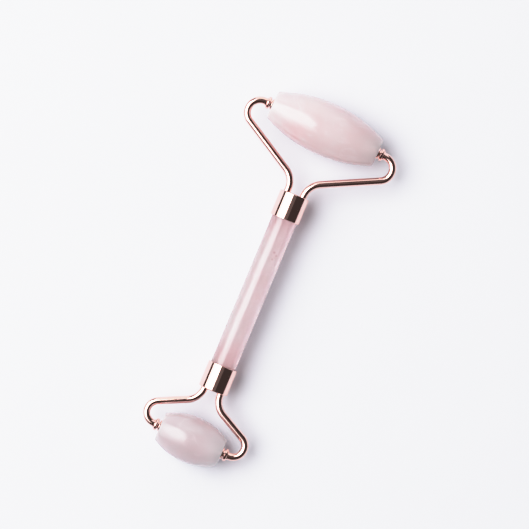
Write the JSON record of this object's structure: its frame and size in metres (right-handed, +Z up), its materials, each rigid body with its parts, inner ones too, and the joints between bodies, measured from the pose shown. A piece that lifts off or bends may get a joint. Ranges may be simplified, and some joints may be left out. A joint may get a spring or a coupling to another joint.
{
  "type": "facial massage roller",
  "caption": "Hand-held facial massage roller: a rose quartz rod handle with a rose-gold wire fork at each end, holding a long and a short barrel-shaped quartz roller.",
  "frame": {"origin": "under the middle of the tool's plan, on the surface that the tool's two rollers rest on", "axes": "+Z up, away from that surface; +Y along the handle, towards the large roller; +X across, along the rollers, to the right when seen from above with the large roller at the top"},
  "size_m": [0.0612, 0.1444, 0.0198],
  "materials": {
    "rod_quartz": "polished",
    "large_roller_quartz": "polished",
    "small_roller_quartz": "polished",
    "rose_gold": "polished",
    "epoxy": "satin",
    "nylon": "satin"
  },
  "bodies": {
    "frame": {"handle_rod": "rod_quartz", "large_adhesive": "epoxy", "large_collar_left": "rose_gold", "large_collar_right": "rose_gold", "large_ferrule": "rose_gold", "large_fork_wire": "rose_gold", "small_adhesive": "epoxy", "small_collar_left": "rose_gold", "small_collar_right": "rose_gold", "small_ferrule": "rose_gold", "small_fork_wire": "rose_gold"},
    "large_roller": {"large_eyelet_left": "rose_gold", "large_eyelet_right": "rose_gold", "large_liner_left": "nylon", "large_liner_right": "nylon", "large_roller_stone": "large_roller_quartz"},
    "small_roller": {"small_eyelet_left": "rose_gold", "small_eyelet_right": "rose_gold", "small_liner_left": "nylon", "small_liner_right": "nylon", "small_roller_stone": "small_roller_quartz"}
  },
  "joints": [
    {"name": "large_roller_spin", "type": "hinge", "parent": "frame", "child": "large_roller", "pos_m": [0.00018, 0.06232, 0.0099], "axis": [0.9993, -0.0366, -0.0003], "continuous": true},
    {"name": "small_roller_spin", "type": "hinge", "parent": "frame", "child": "small_roller", "pos_m": [-0.00121, -0.06345, 0.00877], "axis": [0.9998, -0.0201, -0.0002], "continuous": true}
  ]
}
